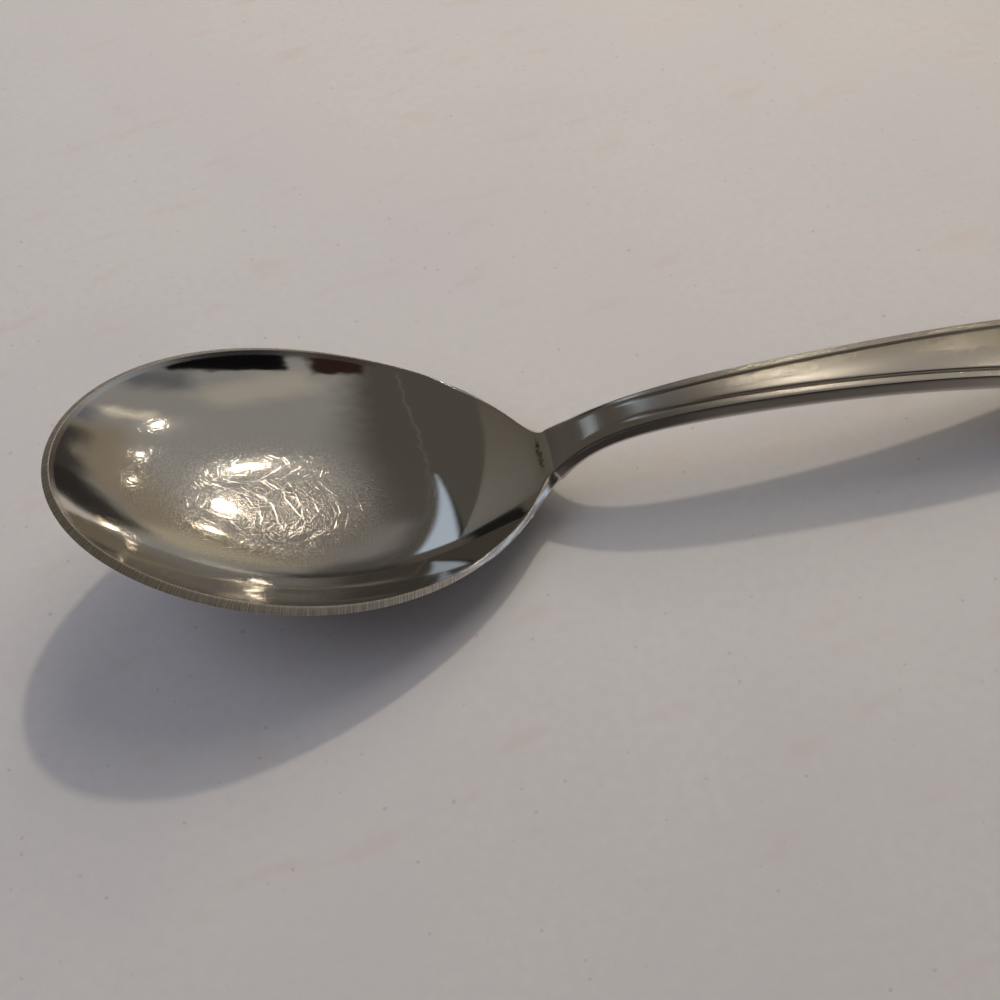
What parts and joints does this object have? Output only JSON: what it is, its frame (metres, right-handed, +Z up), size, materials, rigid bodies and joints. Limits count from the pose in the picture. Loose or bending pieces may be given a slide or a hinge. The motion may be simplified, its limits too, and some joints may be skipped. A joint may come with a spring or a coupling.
{
  "type": "soup spoon",
  "caption": "Table soup spoon: an egg-shaped pressed steel bowl with a ground rim, and an arched, tapering handle with a border groove.",
  "frame": {"origin": "on the table under the middle of the spoon's length and width", "axes": "+X runs along the spoon from the bowl's tip to the handle's end, +Z up from the table, -Y towards the viewer of the picture"},
  "size_m": [0.2, 0.0476, 0.0241],
  "materials": {
    "bowl_steel": "polished stainless steel, worn by fine swirling scratches",
    "handle_steel": "satin stainless steel, fine marks across the length"
  },
  "bodies": {
    "root": {"bowl": "bowl_steel", "handle": "handle_steel"}
  },
  "joints": []
}
